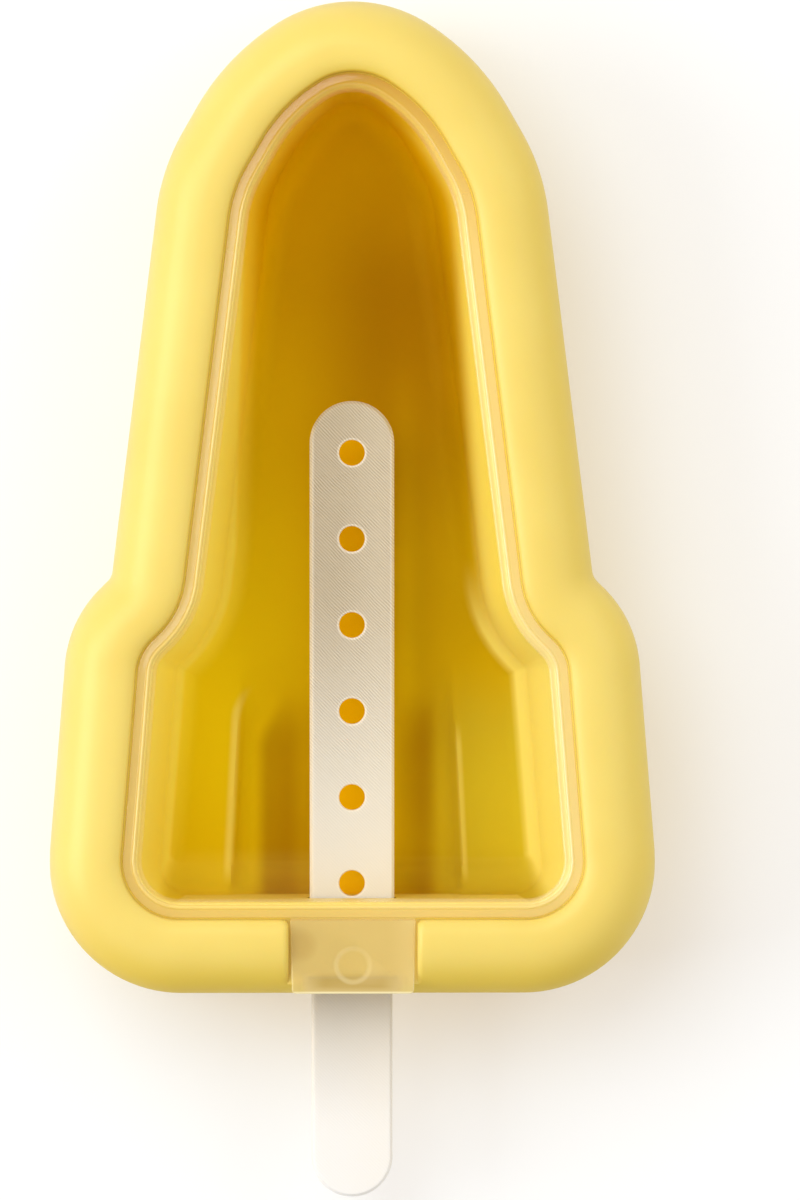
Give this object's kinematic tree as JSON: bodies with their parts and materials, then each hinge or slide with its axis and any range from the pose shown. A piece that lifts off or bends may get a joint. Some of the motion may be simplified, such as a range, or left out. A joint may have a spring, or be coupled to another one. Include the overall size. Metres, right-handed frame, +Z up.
{
  "type": "ice pop mold",
  "caption": "Rocket-shaped soft silicone ice pop mold with a lift-off clear lid, a front tab and a flat pierced stick in a slot.",
  "frame": {"origin": "middle of the tray's footprint, on its flat underside", "axes": "+Z up out of the cavity's mouth, +Y towards the rocket's nose, the stick leaves towards -Y"},
  "size_m": [0.0862, 0.1708, 0.03],
  "materials": {
    "silicone": "satin yellow silicone",
    "lid_plastic": "clear panel, frosted tab",
    "stick_plastic": "translucent white, finely grained"
  },
  "bodies": {
    "tray": {"tray": "silicone"},
    "lid": {"lid": "lid_plastic"},
    "stick": {"stick": "stick_plastic"}
  },
  "joints": [
    {"name": "lid_lift", "type": "slide", "parent": "tray", "child": "lid", "axis": [0, 0, 1], "range_m": [0, 0.06]},
    {"name": "stick_slide", "type": "slide", "parent": "tray", "child": "stick", "axis": [0, -1, 0], "range_m": [0, 0.09]}
  ]
}
